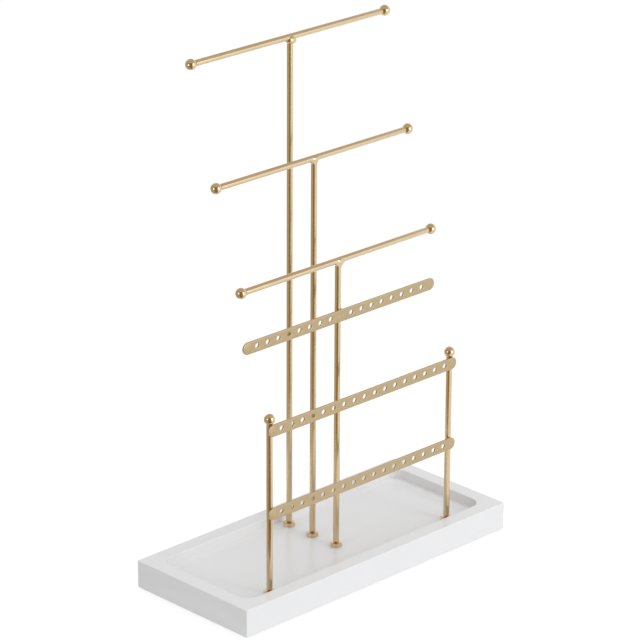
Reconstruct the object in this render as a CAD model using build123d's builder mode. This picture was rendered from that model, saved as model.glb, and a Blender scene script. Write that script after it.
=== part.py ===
from build123d import *
from math import cos, radians
import os

# A jewellery stand: a white lacquered tray that carries, in rows from back to front, a tall, a
# middle and a short T-shaped mast for necklaces and bracelets, and a low frame of perforated bars
# for earrings. X runs along the tray, Y from front to back, and Z up from the table at Z = 0.
# Every rod is threaded at its foot and clamped through the tray between two nuts.

# ---- driving dimensions, in millimetres ----

# tray
tray_length = 300
tray_width = 130
tray_height = 24
rim_width = 13.4
recess_depth = 9
recess_corner_radius = 11.5
recess_cove_radius = 0.8
tray_corner_radius = 1.0
tray_edge_radius = 0.6

# felt pads under the tray
pad_diameter = 16
pad_thickness = 2
pad_inset = 18
pad_edge_chamfer = 0.3

# rows of rods, evenly spaced from the front frame back to the tall mast
row_names = ["front", "short", "mid", "tall"]
row_inset = 23
post_inset = 47

# rods and their threads
rod_diameter = 5.2
thread_diameter = 4.0
thread_gap = 1.0
rod_end_chamfer = 0.4
stud_projection = 1.0
stud_end_chamfer = 0.5
stud_clearance = 0.3
thread_clearance = 0.05

# nuts and washers
nut_across_flats = 9.0
nut_thickness = 3.6
nut_corner_chamfer = 0.5
washer_diameter = 11
washer_thickness = 1.0
counterbore_diameter = 13
counterbore_depth = 7

# crossbars and their balls
tall_height = 445
mid_height = 350
short_height = 270
ball_spacing = 214.4
ball_diameter = 9.2
neck_diameter = 4.0
neck_gap = 0.3
neck_depth = 2.5

finial_height = 170

# perforated bars
bar_height = 10.4
bar_thickness = 1.4
bar_overhang = 4.5
hole_diameter = 4.0
hole_pitch = 11.68
hole_end_margin = 11
short_bar_length = 217
top_bar_height = 161
low_bar_height = 88.7
short_bar_height = 223.2

# welds and brazed fillets, measured from a crossbar's axis and the mast's axis
cope_drop = 1.3
bead_diameter = 8.8
bead_drop = 4.9
bead_lip = 0.5
fillet_reach = 7.5
fillet_drop = 7.4
fillet_width = 3.2
fillet_fullness = 0.3
spot_width = 7.0
spot_height = 5.0
spot_depth = 1.5

# ---- levels and radii that follow from them ----

tray_bottom = pad_thickness
tray_top = tray_bottom + tray_height
recess_floor = tray_top - recess_depth
counterbore_roof = tray_bottom + counterbore_depth
lock_nut_top = recess_floor + nut_thickness
rod_bottom = lock_nut_top + thread_gap
under_nut_top = counterbore_roof - washer_thickness
under_nut_bottom = under_nut_top - nut_thickness
stud_bottom = under_nut_bottom - stud_projection

rod_radius = rod_diameter / 2
thread_radius = thread_diameter / 2
ball_radius = ball_diameter / 2
neck_radius = neck_diameter / 2
bore_radius = thread_radius + thread_clearance
shoulder = ball_radius + neck_gap
neck_end = ball_radius - neck_depth

rows_depth = tray_width - 2 * row_inset
row_spacing = rows_depth / (len(row_names) - 1)
row_y = {row: i * row_spacing - rows_depth / 2 for i, row in enumerate(row_names)}
post_half = tray_length / 2 - post_inset
front_bar_length = 2 * (post_half + bar_overhang)

rod_feet = {
    "post_left": (-post_half, row_y["front"]),
    "post_right": (post_half, row_y["front"]),
    "short_mast": (0, row_y["short"]),
    "mid_mast": (0, row_y["mid"]),
    "tall_mast": (0, row_y["tall"]),
}


def upright_plane(x, y, z):
    """The plane that faces the front, with its origin at the point given."""
    return Plane(origin=(x, y, z), x_dir=(1, 0, 0), z_dir=(0, -1, 0))


def save(piece, node):
    """Label one finished piece and write it to a file of its own."""
    piece.label = node
    export_step(piece, f"parts/{node}.step")


# ---- tray: one board, routed to a shallow recess, drilled and counterbored from beneath ----

def make_tray():
    with BuildPart() as tray:
        with BuildSketch(Plane.XY.offset(tray_bottom)):
            Rectangle(tray_length, tray_width)
        extrude(amount=tray_height)
        fillet(tray.edges().filter_by(Axis.Z), radius=tray_corner_radius)

        with BuildSketch(Plane.XY.offset(recess_floor)):
            RectangleRounded(
                tray_length - 2 * rim_width,
                tray_width - 2 * rim_width,
                recess_corner_radius,
            )
        extrude(amount=recess_depth, mode=Mode.SUBTRACT)

        floor_edges = tray.faces().filter_by(Plane.XY).sort_by(Axis.Z)[1].edges()
        fillet(floor_edges, radius=recess_cove_radius)
        top_edges = tray.faces().sort_by(Axis.Z)[-1].edges()
        fillet(top_edges, radius=tray_edge_radius)
        bottom_edges = tray.faces().sort_by(Axis.Z)[0].edges()
        fillet(bottom_edges, radius=tray_edge_radius)

        underside = Plane(origin=(0, 0, tray_bottom), x_dir=(1, 0, 0), z_dir=(0, 0, -1))
        with Locations(underside):
            with Locations(*[(x, -y) for x, y in rod_feet.values()]):
                CounterBoreHole(
                    radius=thread_radius + stud_clearance,
                    counter_bore_radius=counterbore_diameter / 2,
                    counter_bore_depth=counterbore_depth,
                )
    return tray.part


# ---- felt pad: a disc glued under one corner of the tray ----

def make_pad(x, y):
    with BuildPart() as pad:
        with BuildSketch():
            with Locations((x, y)):
                Circle(pad_diameter / 2)
        extrude(amount=pad_thickness)
        chamfer(pad.faces().sort_by(Axis.Z)[0].edges(), length=pad_edge_chamfer)
    return pad.part


# ---- nuts and washers ----

def make_nut(x, y, bottom):
    """A hexagon nut with its corners turned back at both faces."""
    flat = nut_across_flats / 2
    corner = flat / cos(radians(30))
    with BuildPart() as nut:
        with BuildSketch(Plane(origin=(x, y, bottom))):
            RegularPolygon(radius=flat, side_count=6, major_radius=False)
            Circle(bore_radius, mode=Mode.SUBTRACT)
        extrude(amount=nut_thickness)
        with BuildSketch(upright_plane(x, y, bottom)):
            with BuildLine():
                Polyline(
                    (0, 0),
                    (flat, 0),
                    (corner, nut_corner_chamfer),
                    (corner, nut_thickness - nut_corner_chamfer),
                    (flat, nut_thickness),
                    (0, nut_thickness),
                    close=True,
                )
            make_face()
        revolve(axis=Axis((x, y, bottom), (0, 0, 1)), mode=Mode.INTERSECT)
    return nut.part


def make_washer(x, y):
    with BuildPart() as washer:
        with BuildSketch(Plane(origin=(x, y, under_nut_top))):
            Circle(washer_diameter / 2)
            Circle(bore_radius, mode=Mode.SUBTRACT)
        extrude(amount=washer_thickness)
    return washer.part


# ---- upright rods: a shank over a threaded stud that passes through the tray ----

def make_rod(x, y, top):
    """A plain shank up to the height given, over its threaded foot."""
    with BuildPart() as rod:
        with BuildSketch(Plane(origin=(x, y, rod_bottom))):
            Circle(rod_radius)
        extrude(amount=top - rod_bottom)
        chamfer(rod.faces().filter_by(Plane.XY).edges(), length=rod_end_chamfer)
        with BuildSketch(Plane(origin=(x, y, stud_bottom))):
            Circle(thread_radius)
        extrude(amount=rod_bottom - stud_bottom)
        chamfer(rod.faces().sort_by(Axis.Z)[0].edges(), length=stud_end_chamfer)
    return rod.part


def make_mast(y, crossbar_z):
    """A mast, its top coped to sit under the crossbar."""
    shank = make_rod(0, y, crossbar_z)
    cope_top = Plane(origin=(0, y, crossbar_z - cope_drop))
    with BuildPart() as mast:
        add(shank)
        split(bisect_by=cope_top, keep=Keep.BOTTOM)
        with BuildSketch(Plane.YZ):
            with Locations((y, crossbar_z)):
                Circle(rod_radius)
        extrude(amount=rod_diameter, both=True, mode=Mode.SUBTRACT)
    return mast.part


def make_post(x, y):
    """A front post, its top turned down to a neck that enters the finial ball."""
    shank = make_rod(x, y, finial_height - shoulder)
    with BuildPart() as post:
        add(shank)
        with BuildSketch(Plane(origin=(x, y, finial_height - shoulder))):
            Circle(neck_radius)
        extrude(amount=shoulder - neck_end)
    return post.part


# ---- balls: each has a blind hole for the neck of its rod ----

def make_ball(centre, towards_rod):
    """A ball at the centre given, drilled from the side that the rod enters."""
    bore = neck_radius + thread_clearance
    mouth = (ball_radius**2 - bore**2) ** 0.5
    with BuildPart() as ball:
        with BuildSketch(Plane(origin=centre, x_dir=towards_rod, z_dir=(0, 1, 0))):
            with BuildLine():
                ThreePointArc((-ball_radius, 0), (0, ball_radius), (mouth, bore))
                Polyline((mouth, bore), (neck_end, bore), (neck_end, 0), (-ball_radius, 0))
            make_face()
        revolve(axis=Axis(centre, towards_rod))
    return ball.part


# ---- crossbars: a plain rod with a neck turned at each end ----

def make_crossbar(y, z):
    half = ball_spacing / 2
    with BuildPart() as crossbar:
        with BuildSketch(Plane.YZ):
            with Locations((y, z)):
                Circle(rod_radius)
        extrude(amount=half - shoulder, both=True)
        chamfer(crossbar.faces().filter_by(Plane.YZ).edges(), length=rod_end_chamfer)
        with BuildSketch(Plane.YZ):
            with Locations((y, z)):
                Circle(neck_radius)
        extrude(amount=half - neck_end, both=True)
    return crossbar.part


# ---- perforated bars: round-ended strip with a row of punched holes ----

def make_bar(length, y, z, rods):
    """A bar flat against the front of the rods in row y, with no hole in front of a rod."""
    hole_count = int((length - 2 * hole_end_margin) / hole_pitch) + 1
    row_start = -(hole_count - 1) / 2 * hole_pitch
    hole_row = [row_start + i * hole_pitch for i in range(hole_count)]
    blind = rod_radius + hole_diameter / 2
    holes = [x for x in hole_row if all(abs(x - rod) > blind for rod in rods)]
    with BuildPart() as bar:
        with BuildSketch(upright_plane(0, y - rod_radius, z)):
            SlotOverall(length, bar_height)
            with Locations(*[(x, 0) for x in holes]):
                Circle(hole_diameter / 2, mode=Mode.SUBTRACT)
        extrude(amount=bar_thickness)
    return bar.part


# ---- welds ----

def make_weld_bead(y, crossbar_z):
    """A rounded bead all round the mast, close under the crossbar."""
    top = -cope_drop
    middle = (top - bead_drop) / 2
    lip = rod_radius + bead_lip
    with BuildPart() as bead:
        with BuildSketch(upright_plane(0, y, crossbar_z)):
            with BuildLine():
                ThreePointArc(
                    (rod_radius, -bead_drop),
                    (bead_diameter / 2, middle),
                    (lip, top),
                )
                Polyline(
                    (lip, top),
                    (rod_radius, top),
                    (rod_radius, -bead_drop),
                )
            make_face()
        revolve(axis=Axis((0, y, crossbar_z), (0, 0, 1)))
        with BuildSketch(Plane.YZ):
            with Locations((y, crossbar_z)):
                Circle(rod_radius)
        extrude(amount=bead_diameter, both=True, mode=Mode.SUBTRACT)
    return bead.part


def make_weld_fillets(y, crossbar_z):
    """A brazed fillet in each inner corner between the mast and the crossbar."""
    with BuildPart() as fillets:
        with BuildSketch(upright_plane(0, y, crossbar_z)):
            for side in (-1, 1):
                with BuildLine():
                    ThreePointArc(
                        (side * rod_radius, -fillet_drop),
                        (side * (rod_radius + fillet_fullness * (fillet_reach - rod_radius)),
                         -rod_radius - fillet_fullness * (fillet_drop - rod_radius)),
                        (side * fillet_reach, -rod_radius),
                    )
                    Polyline(
                        (side * fillet_reach, -rod_radius),
                        (0, -rod_radius),
                        (0, -fillet_drop),
                        (side * rod_radius, -fillet_drop),
                    )
                make_face()
        extrude(amount=fillet_width / 2, both=True)
        with BuildSketch(Plane(origin=(0, y, crossbar_z - 2 * fillet_drop))):
            Circle(rod_radius)
        extrude(amount=2 * fillet_drop, mode=Mode.SUBTRACT)
        with BuildSketch(Plane.YZ):
            with Locations((y, crossbar_z)):
                Circle(rod_radius)
        extrude(amount=2 * fillet_reach, both=True, mode=Mode.SUBTRACT)
    return fillets.part


def make_spot_welds(places, y):
    """Pads of weld metal between a bar's back and the rod behind it, one at each place."""
    with BuildPart() as spots:
        for x, z in places:
            with BuildSketch(upright_plane(x, y - rod_radius, z)):
                Ellipse(spot_width / 2, spot_height / 2)
            extrude(amount=-spot_depth)
        for x, z in places:
            with BuildSketch(Plane(origin=(x, y, z - spot_height))):
                Circle(rod_radius)
            extrude(amount=2 * spot_height, mode=Mode.SUBTRACT)
    return spots.part


# ---- the assembly, piece by piece ----

os.makedirs("parts", exist_ok=True)

save(make_tray(), "tray")

pad_x = tray_length / 2 - pad_inset
pad_y = tray_width / 2 - pad_inset
for end, x in (("left", -pad_x), ("right", pad_x)):
    for side, y in (("front", -pad_y), ("back", pad_y)):
        save(make_pad(x, y), f"foot_pad_{side}_{end}")

for rod, (x, y) in rod_feet.items():
    save(make_nut(x, y, recess_floor), f"{rod}_lock_nut")
    save(make_washer(x, y), f"{rod}_washer")
    save(make_nut(x, y, under_nut_bottom), f"{rod}_under_nut")

front_y = row_y["front"]
posts = (-post_half, post_half)
for end, x in zip(("left", "right"), posts):
    save(make_post(x, front_y), f"post_{end}")
    save(make_ball((x, front_y, finial_height), (0, 0, -1)), f"finial_{end}")

bar_levels = {"low": low_bar_height, "top": top_bar_height}
for level, z in bar_levels.items():
    save(make_bar(front_bar_length, front_y, z, posts), f"frame_{level}_bar")
bar_joints = [(x, z) for x in posts for z in bar_levels.values()]
save(make_spot_welds(bar_joints, front_y), "frame_welds")

masts = [
    ("short", short_height, make_weld_fillets),
    ("mid", mid_height, make_weld_fillets),
    ("tall", tall_height, make_weld_bead),
]
for row, z, make_weld in masts:
    y = row_y[row]
    save(make_mast(y, z), f"{row}_mast")
    save(make_crossbar(y, z), f"{row}_crossbar")
    save(make_weld(y, z), f"{row}_mast_weld")
    for end, side in (("left", -1), ("right", 1)):
        save(make_ball((side * ball_spacing / 2, y, z), (-side, 0, 0)), f"{row}_ball_{end}")

short_y = row_y["short"]
save(make_bar(short_bar_length, short_y, short_bar_height, [0]), "short_earring_bar")
save(make_spot_welds([(0, short_bar_height)], short_y), "short_bar_weld")
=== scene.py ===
from math import asin, cos, pi, radians, sin, tan

import bmesh
import bpy
from mathutils import Matrix, Vector, noise


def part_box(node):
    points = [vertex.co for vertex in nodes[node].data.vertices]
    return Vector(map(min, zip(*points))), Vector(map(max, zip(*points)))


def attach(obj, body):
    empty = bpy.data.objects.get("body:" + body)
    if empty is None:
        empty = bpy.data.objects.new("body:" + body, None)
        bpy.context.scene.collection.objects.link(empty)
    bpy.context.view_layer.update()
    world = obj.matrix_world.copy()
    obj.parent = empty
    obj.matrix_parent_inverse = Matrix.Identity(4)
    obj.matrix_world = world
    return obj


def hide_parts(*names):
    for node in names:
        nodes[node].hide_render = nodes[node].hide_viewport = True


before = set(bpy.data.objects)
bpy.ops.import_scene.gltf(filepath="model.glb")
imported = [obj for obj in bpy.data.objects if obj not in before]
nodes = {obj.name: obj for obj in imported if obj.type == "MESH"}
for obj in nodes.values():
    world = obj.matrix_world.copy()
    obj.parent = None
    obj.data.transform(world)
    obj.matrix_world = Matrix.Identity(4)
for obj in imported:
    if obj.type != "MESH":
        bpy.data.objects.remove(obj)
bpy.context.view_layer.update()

# ---- camera ----
# It looks down on the stand from the front left, at the photograph's angle and distance. The
# values were fitted to the tray's corners, the rods and the balls as they lie in the picture.

picture_width_px = 640
focal_length_px = 3561
sensor_width = 36
camera_azimuth = radians(-44.564)
camera_elevation = radians(21.484)
camera_roll = radians(0.298)
camera_distance = 2.918
camera_target = Vector((0.0135, 0.0200, 0.2051))

camera_back = Vector((
    sin(camera_azimuth) * cos(camera_elevation),
    -cos(camera_azimuth) * cos(camera_elevation),
    sin(camera_elevation),
))
level_right = Vector((0, 0, 1)).cross(camera_back).normalized()
level_up = camera_back.cross(level_right)
camera_right = level_right * cos(camera_roll) + level_up * sin(camera_roll)
camera_up = level_up * cos(camera_roll) - level_right * sin(camera_roll)

camera_data = bpy.data.cameras.new("camera")
camera_data.sensor_width = sensor_width
camera_data.lens = focal_length_px / picture_width_px * sensor_width
camera_data.clip_start = 0.1
camera_data.clip_end = 50
camera = bpy.data.objects.new("camera", camera_data)
camera_turn = Matrix((camera_right, camera_up, camera_back)).transposed()
camera_place = Matrix.Translation(camera_target + camera_back * camera_distance)
camera.matrix_world = camera_place @ camera_turn.to_4x4()
bpy.context.scene.collection.objects.link(camera)
bpy.context.scene.camera = camera
bpy.context.scene.view_settings.view_transform = "Standard"

# ---- table and studio light ----
# The stand is on a white table, among soft boxes at the front, the left, the right and overhead.
# The metal mirrors the white room, and also glowing cards that only it sees, which are painted
# reflections: a brown one by the camera, which paints the dark lines in the rods and balls, a grey
# one at the left and a grey ceiling.


def srgb(code):
    """An sRGB hex colour as the linear red, green, blue and alpha that a shader takes."""
    channels = [int(code[i:i + 2], 16) / 255 for i in (1, 3, 5)]
    linear = [c / 12.92 if c <= 0.04045 else ((c + 0.055) / 1.055) ** 2.4 for c in channels]
    return (*linear, 1.0)


def add_node(tree, kind, inputs=None, **settings):
    """Add a node with its settings; an input is a value, or another node's output to link."""
    node = tree.nodes.new(kind)
    for name, value in settings.items():
        setattr(node, name, value)
    for key, value in (inputs or {}).items():
        if isinstance(value, bpy.types.NodeSocket):
            tree.links.new(value, node.inputs[key])
        else:
            node.inputs[key].default_value = value
    return node


def seen_directly(tree):
    """One for a ray from the camera or by way of gloss or glass, and zero for diffuse light."""
    path = add_node(tree, "ShaderNodeLightPath")
    outputs = path.outputs
    mirrored = add_node(tree, "ShaderNodeMath", {
        0: outputs["Is Camera Ray"], 1: outputs["Is Glossy Ray"]}, operation="MAXIMUM")
    return add_node(tree, "ShaderNodeMath", {
        0: mirrored.outputs[0], 1: outputs["Is Transmission Ray"]}, operation="MAXIMUM").outputs[0]


table_size = 6
table_white = srgb("#E8E8E8")
shadow_white = srgb("#888888")
table_lift = 0.85
ambient_strength = 0.49

# Matte white paper. The camera and the metal see it lifted to a plain white, on which only the
# deepest of the stand's shadow is left.
table_bm = bmesh.new()
bmesh.ops.create_grid(table_bm, x_segments=1, y_segments=1, size=table_size / 2)
table_mesh = bpy.data.meshes.new("table")
table_bm.to_mesh(table_mesh)
table_bm.free()
table = bpy.data.objects.new("table", table_mesh)
bpy.context.scene.collection.objects.link(table)

paper = bpy.data.materials.new("white_backdrop_paper")
paper.use_nodes = True
paper_tree = paper.node_tree
paper_tree.nodes.clear()
matte = add_node(paper_tree, "ShaderNodeBsdfDiffuse", {"Color": table_white})
shaded = add_node(paper_tree, "ShaderNodeBsdfDiffuse", {"Color": shadow_white})
glow = add_node(paper_tree, "ShaderNodeEmission", {"Strength": table_lift})
lifted = add_node(paper_tree, "ShaderNodeAddShader", {0: shaded.outputs[0], 1: glow.outputs[0]})
paper_mix = add_node(paper_tree, "ShaderNodeMixShader", {
    0: seen_directly(paper_tree), 1: matte.outputs[0], 2: lifted.outputs[0]})
add_node(paper_tree, "ShaderNodeOutputMaterial", {"Surface": paper_mix.outputs[0]})
table_mesh.materials.append(paper)

# An even white room: the metal sees it at full strength, and matte faces get half of it.
world = bpy.data.worlds.new("studio")
world.use_nodes = True
bpy.context.scene.world = world
world_tree = world.node_tree
world_tree.nodes.clear()
ambient = add_node(world_tree, "ShaderNodeBackground", {"Strength": ambient_strength})
white = add_node(world_tree, "ShaderNodeBackground", {"Strength": 1.0})
for background in (ambient, white):
    background.inputs["Color"].default_value = (1, 1, 1, 1)
world_mix = add_node(world_tree, "ShaderNodeMixShader", {
    0: seen_directly(world_tree), 1: ambient.outputs[0], 2: white.outputs[0]})
add_node(world_tree, "ShaderNodeOutputWorld", {"Surface": world_mix.outputs[0]})


def add_soft_box(name, towards, distance, width, height, power):
    """A soft box that faces the stand from the direction given."""
    lamp = bpy.data.lights.new(name, "AREA")
    lamp.shape = "RECTANGLE"
    lamp.size = width
    lamp.size_y = height
    lamp.energy = power
    box = bpy.data.objects.new(name, lamp)
    direction = Vector(towards).normalized()
    box.location = camera_target + direction * distance
    box.rotation_mode = "QUATERNION"
    box.rotation_quaternion = direction.to_track_quat("Z", "Y")
    box.visible_camera = False
    bpy.context.scene.collection.objects.link(box)
    return box


# The main light: it makes the front of the tray its brightest face, and draws the light line down
# the right of each rod.
key = add_soft_box(
    "front_soft_box", towards=(0.2, -0.955, 0.216), distance=2.6, width=0.8, height=1.6, power=16)
key.data.color = (0.97, 0.985, 1.0)

# It softens the shadows in the tray. The metal doesn't mirror it.
fill = add_soft_box(
    "front_fill", towards=(0.05, -0.95, 0.26), distance=2.5, width=2.0, height=2.2, power=11)
fill.visible_glossy = False

# A small one that puts a glint at the left of the nuts, welds and balls.
add_soft_box(
    "left_soft_box", towards=(-0.971, -0.050, 0.242), distance=1.2, width=0.27, height=0.38,
    power=1.2)

# It lights the rims and the floor of the recess from above. The metal doesn't mirror it.
overhead = add_soft_box(
    "overhead_soft_box", towards=(0.1, -0.1, 1), distance=2.2, width=2.0, height=2.0, power=15.5)
overhead.visible_glossy = False

# Bluish, and for the metal alone: it makes the band of light along each crossbar paler.
side = add_soft_box(
    "right_soft_box", towards=(0.652, -0.738, 0.174), distance=2.4, width=0.8, height=1.4,
    power=1.8)
side.data.color = (0.35, 0.6, 1.0)
side.visible_diffuse = False


def add_card(name, bm, colour):
    """A glowing card of an even tone, seen only in the metal: a painted reflection. It lights
    nothing.
    """
    mesh = bpy.data.meshes.new(name)
    bm.to_mesh(mesh)
    bm.free()
    tone = bpy.data.materials.new(name)
    tone.use_nodes = True
    tone.cycles.emission_sampling = "NONE"
    tree = tone.node_tree
    tree.nodes.clear()
    even = add_node(tree, "ShaderNodeEmission", {"Color": srgb(colour)})
    add_node(tree, "ShaderNodeOutputMaterial", {"Surface": even.outputs[0]})
    mesh.materials.append(tone)
    card = bpy.data.objects.new(name, mesh)
    bpy.context.scene.collection.objects.link(card)
    card.visible_camera = False
    card.visible_diffuse = False
    card.visible_transmission = False
    card.visible_shadow = False


# Each card lies on the table round the stand and turns up into a wall. It starts at an angle from
# the camera's azimuth, sweeps through a second one, and glows in the tone that it paints into the
# metal's reflections.
card_lift = 0.002
cove_inner = 0.17
cove_outer = 1.3
cove_height = 1.6
cove_steps = 24
coves = {
    "brown_camera_card": (radians(30), radians(62), "#9A8358"),
    "grey_left_card": (radians(-32), radians(95), "#C2BCAB"),
}
for name, (start, sweep, colour) in coves.items():
    azimuth = camera_azimuth + start
    bm = bmesh.new()
    outline = [
        bm.verts.new((sin(azimuth) * radius, -cos(azimuth) * radius, height))
        for radius, height in (
            (cove_inner, card_lift), (cove_outer, card_lift), (cove_outer, cove_height))
    ]
    for first, second in zip(outline, outline[1:]):
        bm.edges.new((first, second))
    bmesh.ops.spin(
        bm, geom=bm.verts[:] + bm.edges[:], cent=(0, 0, 0), axis=(0, 0, 1), dvec=(0, 0, 0),
        angle=-sweep, steps=cove_steps)
    add_card(name, bm, colour)

# A glowing grey sheet that only the metal sees: a painted reflection that tones down the upper
# sides of the balls and crossbars, so that they stand out from the white.
ceiling_size = 5.2
ceiling_height = 1.9
bm = bmesh.new()
bmesh.ops.create_grid(
    bm, x_segments=1, y_segments=1, size=ceiling_size / 2,
    matrix=Matrix.Translation((0, 0, ceiling_height)))
add_card("ceiling_card", bm, "#CFCBC3")

# ---- tray ----
# One board of medium-density fibreboard, routed to a shallow recess with round inner corners. It
# is sprayed with white satin lacquer, which leaves a faint orange-peel skin.

lacquer_white = srgb("#F0F0F1")
orange_peel_size = 0.0022

# Smooth enough for the rods and nuts to show in it as soft streaks. The orange peel is drawn
# coarser than it is, so that it reaches the eye.
lacquer = bpy.data.materials.new("white_satin_lacquer")
lacquer.use_nodes = True
lacquer_tree = lacquer.node_tree
lacquer_shader = lacquer_tree.nodes["Principled BSDF"]
lacquer_shader.inputs["Base Color"].default_value = lacquer_white
lacquer_shader.inputs["Roughness"].default_value = 0.22
lacquer_coords = add_node(lacquer_tree, "ShaderNodeTexCoord")
peel = add_node(lacquer_tree, "ShaderNodeTexNoise", {
    "Vector": lacquer_coords.outputs["Object"], "Scale": 1 / orange_peel_size, "Detail": 1.0})
peel_bump = add_node(lacquer_tree, "ShaderNodeBump", {
    "Height": peel.outputs["Fac"], "Strength": 0.05, "Distance": 0.0002})
lacquer_tree.links.new(peel_bump.outputs[0], lacquer_shader.inputs["Normal"])
nodes["tray"].data.materials.clear()
nodes["tray"].data.materials.append(lacquer)

# ---- felt pads ----
# Four discs of pressed grey wool felt, punched out and glued under the tray's corners. The cut
# edge is a little ragged, and the matted fibres catch the light at a low angle.

pad_segments = 96
pad_rings = 5
felt_cut_rounding = 0.0004
felt_fibre_size = 0.0009
felt_ripple = 0.00006
cut_ripples_per_metre = 900
face_ripples_per_metre = 1300
cut_edge_share = 0.9


def show(name, bm, material, body, slot, *replaced):
    """Make a finished bmesh a piece that rides on a body and stands for CAD nodes."""
    bmesh.ops.remove_doubles(bm, verts=bm.verts[:], dist=1e-7)
    bmesh.ops.recalc_face_normals(bm, faces=bm.faces[:])
    mesh = bpy.data.meshes.new(name)
    bm.to_mesh(mesh)
    bm.free()
    mesh.materials.append(material)
    mesh.shade_smooth()
    mesh.set_sharp_from_angle(angle=radians(35))
    piece = bpy.data.objects.new(name, mesh)
    bpy.context.scene.collection.objects.link(piece)
    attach(piece, body)
    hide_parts(*replaced)


# Dull grey with no highlight, and a pale fuzz at a low angle. The fibres are drawn as tufts,
# coarser than real ones, which are too fine to see.
felt = bpy.data.materials.new("pressed_wool_felt")
felt.use_nodes = True
felt_tree = felt.node_tree
felt_shader = felt_tree.nodes["Principled BSDF"]
felt_shader.inputs["Roughness"].default_value = 0.95
felt_shader.inputs["Sheen Weight"].default_value = 0.4
felt_shader.inputs["Sheen Roughness"].default_value = 0.6
felt_coords = add_node(felt_tree, "ShaderNodeTexCoord")
fibres = add_node(felt_tree, "ShaderNodeTexNoise", {
    "Vector": felt_coords.outputs["Object"], "Scale": 1 / felt_fibre_size, "Detail": 6.0,
    "Roughness": 0.7, "Distortion": 1.5})
fibre_tint = add_node(felt_tree, "ShaderNodeMix", {
    "Factor": fibres.outputs["Fac"], "A": srgb("#4A4A4C"), "B": srgb("#77777A")},
    data_type="RGBA")
fibre_bump = add_node(felt_tree, "ShaderNodeBump", {
    "Height": fibres.outputs["Fac"], "Strength": 0.6, "Distance": 0.0003})
felt_tree.links.new(fibre_tint.outputs["Result"], felt_shader.inputs["Base Color"])
felt_tree.links.new(fibre_bump.outputs[0], felt_shader.inputs["Normal"])

for side in ("front", "back"):
    for end in ("left", "right"):
        node = f"foot_pad_{side}_{end}"
        low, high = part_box(node)
        radius = (high.x - low.x) / 2
        bm = bmesh.new()
        bmesh.ops.create_circle(bm, cap_ends=True, segments=pad_segments, radius=radius)
        lid = bm.faces[:]
        risen = bmesh.ops.extrude_face_region(bm, geom=lid)["geom"]
        lifted_verts = [v for v in risen if isinstance(v, bmesh.types.BMVert)]
        bmesh.ops.translate(bm, verts=lifted_verts, vec=(0, 0, high.z - low.z))
        rims = [e for e in bm.edges if abs(e.verts[0].co.z - e.verts[1].co.z) < 1e-9]
        bmesh.ops.bevel(
            bm, geom=rims, offset=felt_cut_rounding, affect="EDGES", segments=3,
            profile=0.5, material=-1)
        for _ in range(pad_rings):
            caps = [f for f in bm.faces if len(f.verts) > 4]
            bmesh.ops.inset_region(bm, faces=caps, thickness=radius / (pad_rings + 2))
        centre = Vector(((low.x + high.x) / 2, (low.y + high.y) / 2, low.z))
        bmesh.ops.translate(bm, verts=bm.verts[:], vec=centre)
        for v in bm.verts:
            out = Vector((v.co.x - centre.x, v.co.y - centre.y, 0))
            if out.length > radius * cut_edge_share:
                ragged = 1 + noise.noise(v.co * cut_ripples_per_metre)
                v.co -= out.normalized() * felt_ripple * ragged
            if v.co.z > low.z + felt_ripple and v.co.z < high.z - felt_ripple:
                v.co.z += felt_ripple * noise.noise(v.co * face_ripples_per_metre)
        show(f"{side}_{end}_felt_pad", bm, felt, "stand", "grey_felt", node)

# ---- masts and posts ----
# Five rods of plated steel. Each has a metric thread rolled on its foot, a small shoulder above
# it, and a top that is coped to the crossbar or turned down to a neck for a ball.

# The thread is M4; the widths of its flanks and root are shares of its pitch.
thread_pitch = 0.0007
thread_flank = 0.3125
thread_root = 0.25
thread_depth = thread_flank * thread_pitch * tan(radians(60))
thread_steps = 24
thread_gap = 0.001
stud_radius = 0.002
stud_chamfer = 0.0005
rod_steps = 64
shoulder_rounding = 0.0004
shoulder_steps = 4
neck_step = 0.0006
neck_glue_gap = 0.00015
seat_gap = 0.00002
roughness_play = 0.04
grain_relief = 1 / 8


def add_finish(name, colour, dark, roughness, grain_size, grain, blotch_size):
    """A plated metal: satin and a little uneven, under a thin clear coat with a sharper glint.

    The grain under the plating is drawn coarser than it is, so that it reaches the eye.
    """
    metal = bpy.data.materials.new(name)
    metal.use_nodes = True
    tree = metal.node_tree
    shader = tree.nodes["Principled BSDF"]
    shader.inputs["Metallic"].default_value = 1
    shader.inputs["Coat Weight"].default_value = 0.9
    shader.inputs["Coat Roughness"].default_value = 0.14
    coords = add_node(tree, "ShaderNodeTexCoord")
    blotch = add_node(tree, "ShaderNodeTexNoise", {
        "Vector": coords.outputs["Object"], "Scale": 1 / blotch_size, "Detail": 2.0})
    tint = add_node(tree, "ShaderNodeMix", {
        "Factor": blotch.outputs["Fac"], "A": srgb(dark), "B": srgb(colour)},
        data_type="RGBA")
    uneven = add_node(tree, "ShaderNodeMapRange", {
        "Value": blotch.outputs["Fac"], "To Min": roughness - roughness_play,
        "To Max": roughness + roughness_play})
    grains = add_node(tree, "ShaderNodeTexNoise", {
        "Vector": coords.outputs["Object"], "Scale": 1 / grain_size, "Detail": 3.0})
    bump = add_node(tree, "ShaderNodeBump", {
        "Height": grains.outputs["Fac"], "Strength": grain,
        "Distance": grain_size * grain_relief})
    tree.links.new(tint.outputs["Result"], shader.inputs["Base Color"])
    tree.links.new(uneven.outputs["Result"], shader.inputs["Roughness"])
    tree.links.new(bump.outputs[0], shader.inputs["Normal"])
    return metal


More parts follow.
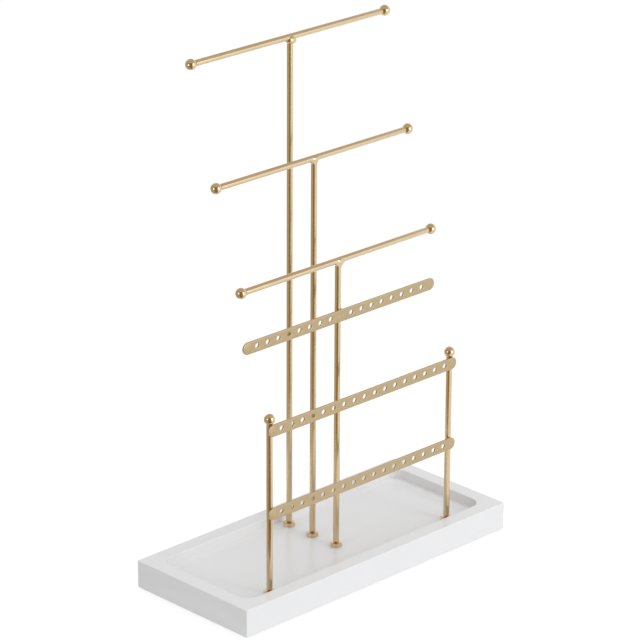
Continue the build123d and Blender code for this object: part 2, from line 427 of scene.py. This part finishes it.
def turn_profile(points, steps):
    """A solid turned about Z from a profile of (radius, height) points."""
    bm = bmesh.new()
    chain = [bm.verts.new((radius, 0, height)) for radius, height in points]
    for first, second in zip(chain, chain[1:]):
        bm.edges.new((first, second))
    bmesh.ops.spin(
        bm, geom=bm.verts[:] + bm.edges[:], cent=(0, 0, 0), axis=(0, 0, 1),
        dvec=(0, 0, 0), angle=2 * pi, steps=steps, use_merge=True)
    bmesh.ops.remove_doubles(bm, verts=bm.verts[:], dist=1e-7)
    return bm


def cut_flat(bm, point, outward):
    """Cut off what lies beyond a plane, and close the cut."""
    bmesh.ops.bisect_plane(
        bm, geom=bm.verts[:] + bm.edges[:] + bm.faces[:], dist=1e-8, plane_co=point,
        plane_no=outward, clear_outer=True)
    bmesh.ops.holes_fill(bm, edges=bm.edges[:], sides=0)


def wind_thread(bottom, top):
    """A threaded stud about Z between two heights, its lower end chamfered."""
    bm = bmesh.new()
    root = stud_radius - thread_depth
    steps_up = (0, thread_root, thread_root + thread_flank, 1 - thread_flank, 1)
    radii = (root, root, stud_radius, stud_radius, root)
    chain = [
        bm.verts.new((r, 0, bottom + (up - 1) * thread_pitch))
        for r, up in zip(radii, steps_up)
    ]
    for first, second in zip(chain, chain[1:]):
        bm.edges.new((first, second))
    turns = int((top - bottom) / thread_pitch) + 3
    bmesh.ops.spin(
        bm, geom=bm.verts[:] + bm.edges[:], cent=(0, 0, 0), axis=(0, 0, 1),
        dvec=(0, 0, thread_pitch / thread_steps), angle=2 * pi * turns,
        steps=thread_steps * turns)
    bmesh.ops.remove_doubles(bm, verts=bm.verts[:], dist=1e-7)
    cut_flat(bm, (0, 0, bottom), (0, 0, -1))
    cut_flat(bm, (0, 0, top), (0, 0, 1))
    for v in bm.verts:
        out = Vector((v.co.x, v.co.y))
        limit = stud_radius - stud_chamfer + (v.co.z - bottom)
        if out.length > limit:
            v.co.x *= limit / out.length
            v.co.y *= limit / out.length
    return bm


def join(bm, other):
    """Add another bmesh to this one."""
    mesh = bpy.data.meshes.new("joined")
    other.to_mesh(mesh)
    other.free()
    bm.from_mesh(mesh)
    bpy.data.meshes.remove(mesh)


gold_light = "#DCC39B"
gold_dark = "#D2B88E"

# Pale champagne gold. The soft lines of light and dark along each rod are reflections: the dark
# ones are painted by the glowing brown card.
rod_gold = add_finish(
    "drawn_rod_gold_plating", gold_light, gold_dark, roughness=0.25, grain_size=0.0004,
    grain=0.003, blotch_size=0.012)

crossbar_low, crossbar_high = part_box("mid_crossbar")
post_low, post_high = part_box("post_left")
ball_low, ball_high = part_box("finial_left")
rod_radius = (crossbar_high.z - crossbar_low.z) / 2
neck_radius = (post_high.x - post_low.x) / 2 - neck_step
shank_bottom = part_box("post_left_lock_nut")[1].z + thread_gap
ball_radius = (ball_high.x - ball_low.x) / 2
ball_bore = neck_radius + neck_glue_gap
ball_mouth = (ball_radius ** 2 - ball_bore ** 2) ** 0.5
post_shoulder = ball_high.z - ball_radius - ball_mouth - seat_gap
rows = ("short", "mid", "tall")


def rounded_end(height, way):
    """Profile points of a rod's rounded edge at a height; way is 1 at its top and -1 below."""
    arc = []
    for i in range(shoulder_steps + 1):
        angle = i / shoulder_steps * pi / 2
        arc.append((
            rod_radius - shoulder_rounding + shoulder_rounding * cos(angle),
            height - way * shoulder_rounding + way * shoulder_rounding * sin(angle),
        ))
    return arc if way > 0 else arc[::-1]


for row in rows:
    node = f"{row}_mast"
    low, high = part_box(node)
    bar_low, bar_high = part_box(f"{row}_crossbar")
    axis_height = (bar_low.z + bar_high.z) / 2
    foot = rounded_end(shank_bottom, -1)
    bm = turn_profile([(0, shank_bottom), *foot, (rod_radius, high.z), (0, high.z)], rod_steps)
    # The top is coped, to follow the underside of the crossbar.
    for v in bm.verts:
        if v.co.z > high.z - 1e-6:
            v.co.z = axis_height - max(rod_radius ** 2 - v.co.y ** 2, 0) ** 0.5
            v.co.z = min(v.co.z, high.z)
    join(bm, wind_thread(low.z, shank_bottom))
    foot_point = ((low.x + high.x) / 2, (low.y + high.y) / 2, 0)
    bmesh.ops.translate(bm, verts=bm.verts[:], vec=foot_point)
    show(f"{row}_mast_rod", bm, rod_gold, f"{row}_mast_body", "gold_plated_steel", node)

for end in ("left", "right"):
    node = f"post_{end}"
    low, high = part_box(node)
    foot = rounded_end(shank_bottom, -1)
    top = rounded_end(post_shoulder, 1)
    neck = [(neck_radius, post_shoulder), (neck_radius, high.z), (0, high.z)]
    bm = turn_profile([(0, shank_bottom), *foot, *top, *neck], rod_steps)
    join(bm, wind_thread(low.z, shank_bottom))
    foot_point = ((low.x + high.x) / 2, (low.y + high.y) / 2, 0)
    bmesh.ops.translate(bm, verts=bm.verts[:], vec=foot_point)
    show(f"{end}_post_rod", bm, rod_gold, "stand", "gold_plated_steel", node)

# ---- nuts and washers ----
# Hexagon nuts turned from bar, with both faces chamfered and the bore countersunk. The lock nuts
# on the tray's floor are gold; those under the washers, out of sight, are zinc-plated.

nut_chamfer = radians(30)
nut_face_share = 0.95
nut_stock_share = 1.02
countersink = 0.00045
nut_edge_rounding = 0.00012
nut_steps = 96
washer_rounding = 0.00015

# The same gold with a rougher grain: each flat keeps a tone of its own.
nut_gold = add_finish(
    "turned_nut_gold_plating", gold_light, gold_dark, roughness=0.25, grain_size=0.0005,
    grain=0.02, blotch_size=0.004)

# Cold, bluish grey, with a mottled sheen.
zinc = add_finish(
    "bright_zinc_plating", "#C3C7CB", "#A9AEB2", roughness=0.3, grain_size=0.0006,
    grain=0.05, blotch_size=0.004)


def make_nut(low, high):
    """A hexagon nut in the box given, its flats facing front and back."""
    flat = (high.y - low.y) / 2
    corner = flat / cos(radians(30))
    half = (high.z - low.z) / 2
    bore = stud_radius
    face = flat * nut_face_share
    stock = corner * nut_stock_share
    drop = (corner - face) * tan(nut_chamfer)
    profile = [
        (bore, -half + countersink), (bore + countersink, -half), (face, -half),
        (stock, -half + drop), (stock, half - drop), (face, half),
        (bore + countersink, half), (bore, half - countersink), (bore, -half + countersink),
    ]
    bm = turn_profile(profile, nut_steps)
    for i in range(6):
        angle = radians(30 + 60 * i)
        outward = Vector((cos(angle), sin(angle), 0))
        cut_flat(bm, outward * flat, outward)
    corners = [
        e for e in bm.edges
        if e.is_manifold and e.calc_face_angle() > radians(50)
        and abs(e.verts[0].co.z - e.verts[1].co.z) > half
    ]
    bmesh.ops.bevel(
        bm, geom=corners, offset=nut_edge_rounding, affect="EDGES", segments=2,
        profile=0.5, material=-1)
    bmesh.ops.translate(bm, verts=bm.verts[:], vec=(low + high) / 2)
    return bm


fixings = {
    "post_left": "stand", "post_right": "stand", "short_mast": "short_mast_body",
    "mid_mast": "mid_mast_body", "tall_mast": "tall_mast_body",
}
for rod, body in fixings.items():
    lock, under, washer = f"{rod}_lock_nut", f"{rod}_under_nut", f"{rod}_washer"
    show(f"{rod}_top_nut", make_nut(*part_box(lock)), nut_gold, body, "gold_plated_steel", lock)
    show(f"{rod}_low_nut", make_nut(*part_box(under)), zinc, body, "zinc_plated_steel", under)
    low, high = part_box(washer)
    radius = (high.x - low.x) / 2
    half = (high.z - low.z) / 2
    inside = radius - washer_rounding
    inner_half = half - washer_rounding
    profile = [
        (stud_radius, -half), (inside, -half), (radius, -inner_half),
        (radius, inner_half), (inside, half), (stud_radius, half), (stud_radius, -half),
    ]
    bm = turn_profile(profile, nut_steps)
    bmesh.ops.translate(bm, verts=bm.verts[:], vec=(low + high) / 2)
    show(f"{rod}_plain_washer", bm, zinc, body, "zinc_plated_steel", washer)

# ---- crossbars and balls ----
# Rods with a neck turned at each end, and balls turned from bar stock that are drilled and glued
# on the necks. The two front posts end in the same balls.

ball_steps = 64
ball_rings = 40
neck_depth = 0.0025

# Smoother than the rods: a clear glint from the lamps beside a dark patch, which is the painted
# reflection of the glowing brown card.
ball_gold = add_finish(
    "polished_ball_gold_plating", gold_light, gold_dark, roughness=0.18, grain_size=0.0006,
    grain=0.003, blotch_size=0.006)


def make_ball(centre, towards_rod):
    """A drilled ball; towards_rod points from its centre to its rod."""
    limit = pi - asin(ball_bore / ball_radius)
    points = []
    for i in range(ball_rings + 1):
        angle = i / ball_rings * limit
        points.append((ball_radius * sin(angle), -ball_radius * cos(angle)))
    points.append((ball_bore, ball_radius - neck_depth))
    points.append((0, ball_radius - neck_depth))
    bm = turn_profile(points, ball_steps)
    turn = towards_rod.to_track_quat("Z", "Y").to_matrix().to_4x4()
    bmesh.ops.transform(bm, matrix=Matrix.Translation(centre) @ turn, verts=bm.verts[:])
    return bm


for end in ("left", "right"):
    node = f"finial_{end}"
    low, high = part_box(node)
    centre = Vector(((low.x + high.x) / 2, (low.y + high.y) / 2, high.z - ball_radius))
    bm = make_ball(centre, Vector((0, 0, -1)))
    show(f"{end}_finial_ball", bm, ball_gold, "stand", "gold_plated_steel", node)

for row in rows:
    body = f"{row}_mast_body"
    node = f"{row}_crossbar"
    low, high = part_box(node)
    left_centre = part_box(f"{row}_ball_left")[0].x + ball_radius
    shoulder = -left_centre - ball_mouth - seat_gap
    tip = rounded_end(shoulder, 1)
    butt = rounded_end(-shoulder, -1)
    neck_low = [(0, low.x), (neck_radius, low.x), (neck_radius, -shoulder)]
    neck_high = [(neck_radius, shoulder), (neck_radius, high.x), (0, high.x)]
    bm = turn_profile([*neck_low, *butt, *tip, *neck_high], rod_steps)
    along_x = Vector((1, 0, 0)).to_track_quat("Z", "Y").to_matrix().to_4x4()
    axis_point = Vector((0, (low.y + high.y) / 2, (low.z + high.z) / 2))
    bmesh.ops.transform(bm, matrix=Matrix.Translation(axis_point) @ along_x, verts=bm.verts[:])
    show(f"{row}_crossbar_rod", bm, rod_gold, body, "gold_plated_steel", node)
    for end, side in (("left", -1), ("right", 1)):
        centre = Vector((-side * left_centre, axis_point.y, axis_point.z))
        bm = make_ball(centre, Vector((-side, 0, 0)))
        show(f"{row}_{end}_ball", bm, ball_gold, body, "gold_plated_steel", f"{row}_ball_{end}")

# ---- perforated bars ----
# Strips of steel with round ends and a row of punched holes. Tumbling has broken every edge, so
# a thin line of light runs round the ends and in the holes.

bar_edge = 0.00025
hole_sides = 32
end_steps = 24
hole_radius = 0.002
hole_pitch = 0.01168
hole_count = 17

# Duller and browner than the rods: one even satin tone along the whole bar.
strip_gold = add_finish(
    "tumbled_strip_gold_plating", "#BCA57D", "#B59F75", roughness=0.4, grain_size=0.0005,
    grain=0.012, blotch_size=0.02)


def punch_row(holes, half_height):
    """Squares of strip in a row, each with a hole in it, at these places along X."""
    bm = bmesh.new()
    for x in holes:
        hole = bmesh.ops.create_circle(bm, segments=hole_sides, radius=hole_radius)["verts"]
        square = bmesh.ops.create_circle(bm, segments=hole_sides, radius=1)["verts"]
        for v in square:
            v.co /= max(abs(v.co.x), abs(v.co.y))
            v.co.x *= hole_pitch / 2
            v.co.y *= half_height
        edges = list({e for v in hole + square for e in v.link_edges})
        bmesh.ops.bridge_loops(bm, edges=edges)
        bmesh.ops.translate(bm, verts=hole + square, vec=(x, 0, 0))
    bmesh.ops.remove_doubles(bm, verts=bm.verts[:], dist=1e-6)
    return bm


def fill_blanks(bm, holes):
    """Plain strip where the row leaves out a hole."""
    for first, second in zip(holes, holes[1:]):
        if second - first > hole_pitch * 1.5:
            borders = (first + hole_pitch / 2, second - hole_pitch / 2)
            inner = [
                v for v in bm.verts if any(abs(v.co.x - border) < 1e-6 for border in borders)]
            bmesh.ops.contextual_create(bm, geom=[
                e for e in bm.edges
                if e.is_boundary and e.verts[0] in inner and e.verts[1] in inner])


def round_end(bm, side, row_end, half_length, half_height):
    """Plain strip with a half-round end beyond the row; side is -1 at the left, 1 at the right."""
    outer_x = side * row_end
    rim = [e for e in bm.edges if all(abs(v.co.x - outer_x) < 1e-6 for v in e.verts)]
    top = max((v for e in rim for v in e.verts), key=lambda v: v.co.y)
    bottom = min((v for e in rim for v in e.verts), key=lambda v: v.co.y)
    centre_x = side * (half_length - half_height)
    tip = bm.verts.new((centre_x, half_height, 0))
    arc = bmesh.ops.spin(
        bm, geom=[tip], cent=(centre_x, 0, 0), axis=(0, 0, 1), dvec=(0, 0, 0),
        angle=-side * pi, steps=end_steps)
    last = [v for v in arc["geom_last"] if isinstance(v, bmesh.types.BMVert)][0]
    bm.edges.new((top, tip))
    bm.edges.new((bottom, last))
    loop = [
        e for e in bm.edges
        if (not e.link_faces or e in rim)
        and all(side * v.co.x > row_end - 1e-6 for v in e.verts)
    ]
    bmesh.ops.contextual_create(bm, geom=loop)


def make_bar(low, high, holes):
    """A round-ended strip in the box given, with holes at these places along it."""
    half_height = (high.z - low.z) / 2
    half_length = (high.x - low.x) / 2
    bm = punch_row(holes, half_height)
    fill_blanks(bm, holes)
    for side in (-1, 1):
        round_end(bm, side, holes[-1] + hole_pitch / 2, half_length, half_height)
    grown = bmesh.ops.extrude_face_region(bm, geom=bm.faces[:])["geom"]
    back = [v for v in grown if isinstance(v, bmesh.types.BMVert)]
    bmesh.ops.translate(bm, verts=back, vec=(0, 0, low.y - high.y))
    bmesh.ops.recalc_face_normals(bm, faces=bm.faces[:])
    sharp = [e for e in bm.edges if e.is_manifold and e.calc_face_angle() > radians(60)]
    bmesh.ops.bevel(
        bm, geom=sharp, offset=bar_edge, affect="EDGES", segments=2, profile=0.5,
        material=-1)
    upright = Matrix.Rotation(pi / 2, 4, "X")
    middle = Vector(((low.x + high.x) / 2, low.y, (low.z + high.z) / 2))
    bmesh.ops.transform(bm, matrix=Matrix.Translation(middle) @ upright, verts=bm.verts[:])
    return bm


hole_row = [(i - (hole_count - 1) / 2) * hole_pitch for i in range(hole_count)]
bars = {
    "frame_top_bar": ("stand", hole_row),
    "frame_low_bar": ("stand", hole_row),
    "short_earring_bar": ("short_mast_body", [x for x in hole_row if abs(x) > hole_pitch / 2]),
}
for node, (body, holes) in bars.items():
    bm = make_bar(*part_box(node), holes)
    show(f"{node}_strip", bm, strip_gold, body, "gold_plated_steel", node)

# ---- brazed joints ----
# Filler metal that was melted into the corners of each joint and plated over. It flows out thin
# on both rods: it is drawn into wide fillets on two of the masts, and left as one round bead on
# the tall one.

braze_grain = 0.00013
wetted_reach = 0.0095
wetted_drop = 0.0105
wetted_radius = rod_radius - 0.00003
sunk_radius = rod_radius * 0.93
taper_share = 0.2
fillet_rings = 20

# Glossier than the rods: it keeps the wet look of molten metal, with small hard glints.
braze_gold = add_finish(
    "brazed_joint_gold_plating", gold_light, gold_dark, roughness=0.2, grain_size=0.0006,
    grain=0.02, blotch_size=0.003)


def add_drop(bm, centre, radii, sag=0):
    """A drop of filler, in millimetres from the joint; its right end sags by an angle."""
    shape = Matrix.Diagonal([r / 1000 for r in radii]).to_4x4()
    place = Matrix.Translation(Vector(centre) / 1000) @ Matrix.Rotation(radians(sag), 4, "Y")
    bmesh.ops.create_uvsphere(bm, u_segments=40, v_segments=24, radius=1, matrix=place @ shape)


def add_wetted_rod(bm, start, end, towards):
    """The stretch of a rod that filler covers, tapered to sink into the rod at its ends."""
    taper = (end - start) * taper_share
    profile = [
        (0, start), (sunk_radius, start), (wetted_radius, start + taper),
        (wetted_radius, end - taper), (sunk_radius, end), (0, end),
    ]
    stretch = turn_profile(profile, rod_steps)
    turn = Vector(towards).to_track_quat("Z", "Y").to_matrix()
    bmesh.ops.rotate(stretch, verts=stretch.verts[:], cent=(0, 0, 0), matrix=turn)
    join(bm, stretch)


def add_fillet(bm, left, right, thickness):
    """A funnel of filler; each side has its reach along the crossbar, drop and flare, in mm."""
    profile = [(0, -1)]
    for i in range(fillet_rings + 1):
        rise = i / fillet_rings
        profile.append((1 + rise, rise - 1))
    profile.append((0, 0))
    funnel = turn_profile(profile, rod_steps)
    for v in funnel.verts:
        radius = Vector((v.co.x, v.co.y)).length
        share = (1 + v.co.x / radius) / 2 if radius > 0 else 0.5
        reach, drop, flare = (
            at_left + (at_right - at_left) * share for at_left, at_right in zip(left, right))
        if radius > 0:
            spread = max(radius - 1, 0) ** flare
            v.co.x *= (rod_radius + spread * (reach / 1000 - rod_radius)) / radius
            v.co.y *= (rod_radius + spread * thickness / 1000) / radius
        v.co.z *= drop / 1000
    join(bm, funnel)


def melt(lumps, flow):
    """Fuse lumps into one skin, and smooth it as molten metal smooths itself."""
    mesh = bpy.data.meshes.new("molten")
    bmesh.ops.recalc_face_normals(lumps, faces=lumps.faces[:])
    lumps.to_mesh(mesh)
    lumps.free()
    pool = bpy.data.objects.new("molten", mesh)
    bpy.context.scene.collection.objects.link(pool)
    fuse = pool.modifiers.new("fuse", "REMESH")
    fuse.mode = "VOXEL"
    fuse.voxel_size = braze_grain
    settle = pool.modifiers.new("settle", "SMOOTH")
    settle.factor = 0.5
    settle.iterations = flow
    depsgraph = bpy.context.evaluated_depsgraph_get()
    skin = bpy.data.meshes.new_from_object(pool.evaluated_get(depsgraph))
    bm = bmesh.new()
    bm.from_mesh(skin)
    bpy.data.objects.remove(pool)
    bpy.data.meshes.remove(mesh)
    bpy.data.meshes.remove(skin)
    return bm


# In millimetres from the joint. A fillet has its left side, its right side and its thickness; a
# drop has its centre, its radii and its sag. The flow is how long the metal stayed molten.
joints = {
    "short": {
        "fillet": ((12.0, 4.6, 2.0), (11.6, 7.0, 1.15), 0.1),
        "drop": ((0.6, 0.0, -0.7), (5.0, 3.3, 3.2), 8),
        "flow": 40,
    },
    "mid": {
        "fillet": ((10.5, 6.0, 2.1), (10.5, 6.0, 2.1), 0.1),
        "drop": ((0.3, 0.0, -0.5), (5.4, 3.3, 2.9), 6),
        "flow": 50,
    },
    "tall": {
        "fillet": None,
        "drop": ((0.3, -0.2, -2.4), (5.6, 4.3, 3.8), 16),
        "flow": 30,
    },
}
for row, joint in joints.items():
    low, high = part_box(f"{row}_crossbar")
    bm = bmesh.new()
    add_wetted_rod(bm, -wetted_reach, wetted_reach, (1, 0, 0))
    add_wetted_rod(bm, -wetted_drop, 0, (0, 0, 1))
    if joint["fillet"]:
        add_fillet(bm, *joint["fillet"])
    add_drop(bm, *joint["drop"])
    bm = melt(bm, joint["flow"])
    joint_point = (0, (low.y + high.y) / 2, (low.z + high.z) / 2)
    bmesh.ops.translate(bm, verts=bm.verts[:], vec=joint_point)
    show(
        f"{row}_mast_braze", bm, braze_gold, f"{row}_mast_body", "gold_plated_steel",
        f"{row}_mast_weld")

# ---- spot welds ----
# Small beads of weld metal that run down both corners between a bar's back and the rod behind it.
# On the short mast one bead stands a little above the bar's edge.

spot_flow = 6
spot_drops = [
    ((-2.2, -0.15, 0.0), (1.2, 1.3, 2.6)), ((2.2, -0.15, 0.0), (1.2, 1.3, 2.6)),
    ((-2.0, -0.2, 2.1), (1.0, 1.0, 0.8)), ((2.0, -0.2, -2.0), (1.0, 1.0, 0.9)),
]
proud_drop = ((1.3, -0.2, 5.1), (1.2, 0.9, 0.8))


def weld_bar_to_rod(bar_back, x, height, extra=()):
    """Weld beads in the corners behind a bar; the drops are set from the rod's foremost line."""
    bm = bmesh.new()
    for centre, radii in (*spot_drops, *extra):
        add_drop(bm, centre, radii)
    bm = melt(bm, spot_flow)
    bmesh.ops.translate(bm, verts=bm.verts[:], vec=(x, bar_back, height))
    return bm


low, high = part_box("short_earring_bar")
bm = weld_bar_to_rod(high.y, 0, (low.z + high.z) / 2, [proud_drop])
show("short_bar_beads", bm, braze_gold, "short_mast_body", "gold_plated_steel", "short_bar_weld")

bm = bmesh.new()
for end in ("left", "right"):
    post_low, post_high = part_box(f"post_{end}")
    for level in ("top", "low"):
        low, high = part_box(f"frame_{level}_bar")
        post_x = (post_low.x + post_high.x) / 2
        join(bm, weld_bar_to_rod(high.y, post_x, (low.z + high.z) / 2))
show("frame_beads", bm, braze_gold, "stand", "gold_plated_steel", "frame_welds")
